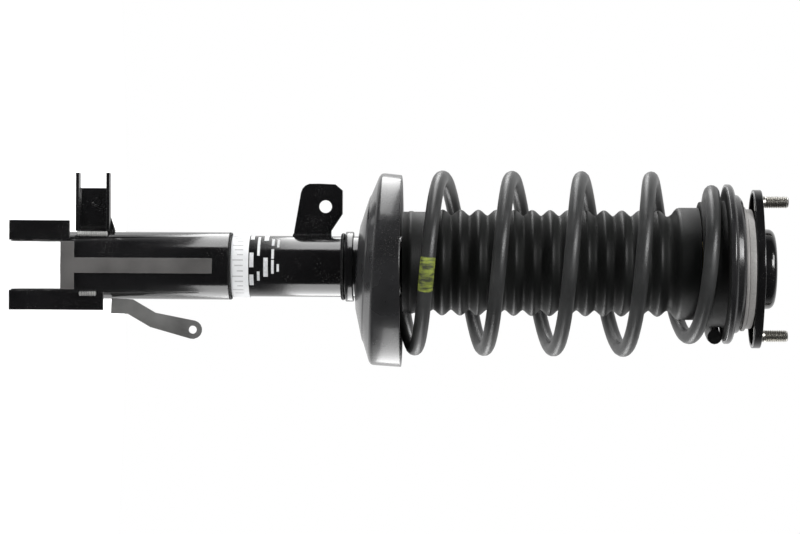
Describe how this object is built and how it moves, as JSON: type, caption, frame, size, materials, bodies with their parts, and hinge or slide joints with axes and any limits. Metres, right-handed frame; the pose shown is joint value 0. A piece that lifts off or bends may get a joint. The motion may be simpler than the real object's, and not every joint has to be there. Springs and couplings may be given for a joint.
{
  "type": "strut assembly",
  "caption": "Coil-over suspension strut with clevis knuckle bracket, spring seats, left-hand coil spring, ribbed dust boot, steering bearing and studded top mount.",
  "frame": {"origin": "on the damper axis, in the plane of the mount plate's outer face", "axes": "+Z along the damper axis towards the car body, clevis ears towards +Y, link and hose brackets towards -X"},
  "size_m": [0.1648, 0.1612, 0.6515],
  "materials": {
    "black_paint": "gloss black enamel",
    "black_steel": "satin black",
    "seat_paint": "satin dark grey",
    "spring_paint": "satin dark grey powder coat",
    "black_rubber": "matte",
    "zinc": "zinc plated",
    "strap_steel": "zinc plated, worn",
    "chrome_rod": "polished",
    "plain_steel": "machined",
    "bearing_plastic": "matte light grey",
    "urethane": "foam",
    "ptfe": "matte",
    "label_white": "satin label"
  },
  "bodies": {
    "top_mount": {"mount_plate": "black_paint", "mount_dome": "black_paint", "mount_stud_left": "zinc", "mount_stud_right": "zinc", "mount_cup": "black_steel", "mount_rubber": "black_rubber", "inner_sleeve": "plain_steel", "rod_washer": "zinc", "rod_nut": "zinc", "piston_rod": "chrome_rod", "rebound_washer": "plain_steel", "rebound_stop": "black_rubber", "piston": "plain_steel", "piston_band": "ptfe", "piston_nut": "plain_steel", "bump_stop": "urethane", "bump_stop_cup": "black_steel", "bearing_upper_race": "bearing_plastic"},
    "ball_cage": {"ball_cage": "plain_steel"},
    "spring_group": {"bearing_lower_race": "bearing_plastic", "upper_spring_seat": "seat_paint", "upper_insulator": "black_rubber", "dust_boot": "black_rubber", "coil_spring": "spring_paint"},
    "damper": {"outer_tube": "black_paint", "base_cap": "black_paint", "inner_cylinder": "plain_steel", "base_valve": "plain_steel", "rod_guide": "plain_steel", "rod_seal": "black_rubber", "tube_cap": "black_steel", "seat_collar": "black_paint", "lower_spring_seat": "seat_paint", "lower_insulator": "black_rubber", "knuckle_bracket": "black_paint", "bracket_back_plate": "black_paint", "hose_bracket": "black_paint", "link_bracket": "black_paint", "sensor_strap": "strap_steel", "label_band": "label_white"}
  },
  "joints": [
    {"name": "steering_turn", "type": "hinge", "parent": "top_mount", "child": "spring_group", "pos_m": [0, 0, -0.0124], "axis": [0, 0, 1], "range_deg": [-45, 45]},
    {"name": "ball_cage_turn", "type": "hinge", "parent": "top_mount", "child": "ball_cage", "pos_m": [0, 0, -0.0124], "axis": [0, 0, 1], "range_deg": [-23, 23]},
    {"name": "damper_stroke", "type": "slide", "parent": "spring_group", "child": "damper", "axis": [0, 0, 1], "range_m": [0, 0.14], "stiffness_N_per_m": 25000, "springref_m": -0.02, "deforming": ["coil_spring", "dust_boot"]}
  ],
  "couplings": [
    {"joint": "ball_cage_turn", "follows": "steering_turn", "ratio": 0.5}
  ]
}
